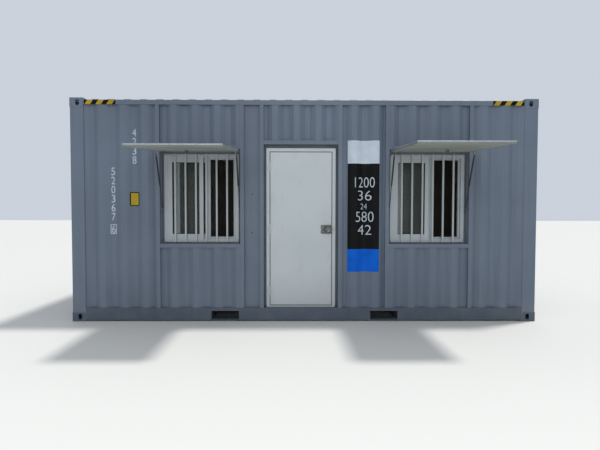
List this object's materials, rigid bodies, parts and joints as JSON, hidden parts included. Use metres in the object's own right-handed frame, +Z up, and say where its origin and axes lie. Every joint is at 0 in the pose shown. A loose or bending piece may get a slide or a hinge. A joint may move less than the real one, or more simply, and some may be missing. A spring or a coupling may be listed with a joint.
{
  "type": "shipping container cabin",
  "caption": "Long container cabin with corrugated walls, a hinged door, barred sliding windows under raised flaps on gas struts, corner castings and fork pockets.",
  "frame": {"origin": "On the ground, midway between the corner castings' bottom slots, in the centre of the footprint.", "axes": "+X runs along the length to the viewer's right in the picture. The front with the door and the windows looks along -Y. +Z is up."},
  "size_m": [6.058, 3.6486, 2.896],
  "materials": {
    "container_paint": "semi-gloss coat over primed steel",
    "floor_plywood": "oiled plywood",
    "lining_board": "matt sealed board",
    "window_plastic": "smooth white",
    "window_glass": "clear float glass",
    "door_paint": "smooth white coat",
    "flap_board": "painted board",
    "hinge_steel": "zinc plated",
    "lock_body": "dark coat",
    "strut_black": "satin black",
    "strut_rod": "black nitrided rod"
  },
  "bodies": {
    "cabin": {"back_lining": "lining_board", "back_sheet": "container_paint", "bay_uprights": "container_paint", "bottom_corner_castings": "container_paint", "bottom_end_rails": "container_paint", "bottom_side_rails": "container_paint", "ceiling_boards": "lining_board", "corner_posts": "container_paint", "cross_members": "container_paint", "door_frame": "door_paint", "door_hinges_frame": "hinge_steel", "door_packer": "lining_board", "door_reveal": "lining_board", "end_linings": "lining_board", "flap_hinges_fixed": "container_paint", "floor_boards": "floor_plywood", "fork_pockets": "container_paint", "front_lining": "lining_board", "front_sheet_by_door": "container_paint", "front_sheet_left": "container_paint", "front_sheet_over_door": "container_paint", "front_sheet_right": "container_paint", "front_sheet_sign_bay": "container_paint", "front_sheets_over_windows": "container_paint", "front_sheets_under_windows": "container_paint", "left_end_sheet": "container_paint", "left_window_frame": "window_plastic", "left_window_panes": "window_glass", "left_window_sashes": "window_plastic", "lock_lug": "hinge_steel", "right_end_sheet": "container_paint", "right_window_frame": "window_plastic", "right_window_panes": "window_glass", "right_window_sashes": "window_plastic", "roof_sheet": "container_paint", "sill_and_head_tubes": "container_paint", "strut_brackets": "hinge_steel", "top_corner_castings": "container_paint", "top_end_rails": "container_paint", "top_side_rails": "container_paint", "window_packers": "lining_board", "window_reveals": "lining_board"},
    "door": {"door_leaf": "door_paint", "door_core": "lining_board", "door_hinges_leaf": "hinge_steel", "hasp_plate": "hinge_steel", "puck_lock": "lock_body"},
    "left_flap": {"left_flap": "container_paint", "left_flap_lining": "flap_board", "left_flap_fittings": "hinge_steel"},
    "left_strut_cylinders": {"left_strut_cylinders": "strut_black"},
    "left_strut_rods": {"left_strut_rods": "strut_rod"},
    "right_flap": {"right_flap": "container_paint", "right_flap_lining": "flap_board", "right_flap_fittings": "hinge_steel"},
    "right_strut_cylinders": {"right_strut_cylinders": "strut_black"},
    "right_strut_rods": {"right_strut_rods": "strut_rod"}
  },
  "joints": [
    {"name": "door_hinge", "type": "hinge", "parent": "cabin", "child": "door", "pos_m": [-0.457, -1.176, 1.2], "axis": [0, 0, -1], "range_deg": [0, 110]},
    {"name": "left_flap_hinge", "type": "hinge", "parent": "cabin", "child": "left_flap", "pos_m": [-1.36, -1.224, 2.249], "axis": [1, 0, 0], "range_deg": [0, 84.2]},
    {"name": "left_strut_pivot", "type": "hinge", "parent": "left_flap", "child": "left_strut_cylinders", "pos_m": [-1.36, -1.40514, 2.1522], "axis": [1, 0, 0], "range_deg": [-104.36, 0]},
    {"name": "left_strut_slide", "type": "slide", "parent": "left_strut_cylinders", "child": "left_strut_rods", "axis": [0, 0.3592, -0.9332], "range_m": [-0.1432, 0]},
    {"name": "right_flap_hinge", "type": "hinge", "parent": "cabin", "child": "right_flap", "pos_m": [1.618, -1.224, 2.249], "axis": [1, 0, 0], "range_deg": [0, 86]},
    {"name": "right_strut_pivot", "type": "hinge", "parent": "right_flap", "child": "right_strut_cylinders", "pos_m": [1.618, -1.4081, 2.15794], "axis": [1, 0, 0], "range_deg": [-106.21, 0]},
    {"name": "right_strut_slide", "type": "slide", "parent": "right_strut_cylinders", "child": "right_strut_rods", "axis": [0, 0.3601, -0.9329], "range_m": [-0.1496, 0]}
  ],
  "couplings": [
    {"joint": "left_strut_pivot", "follows": "left_flap_hinge", "ratio": -1.2388},
    {"joint": "left_strut_slide", "follows": "left_flap_hinge", "m_per_rad": -0.097395},
    {"joint": "right_strut_pivot", "follows": "right_flap_hinge", "ratio": -1.2344},
    {"joint": "right_strut_slide", "follows": "right_flap_hinge", "m_per_rad": -0.099631}
  ]
}
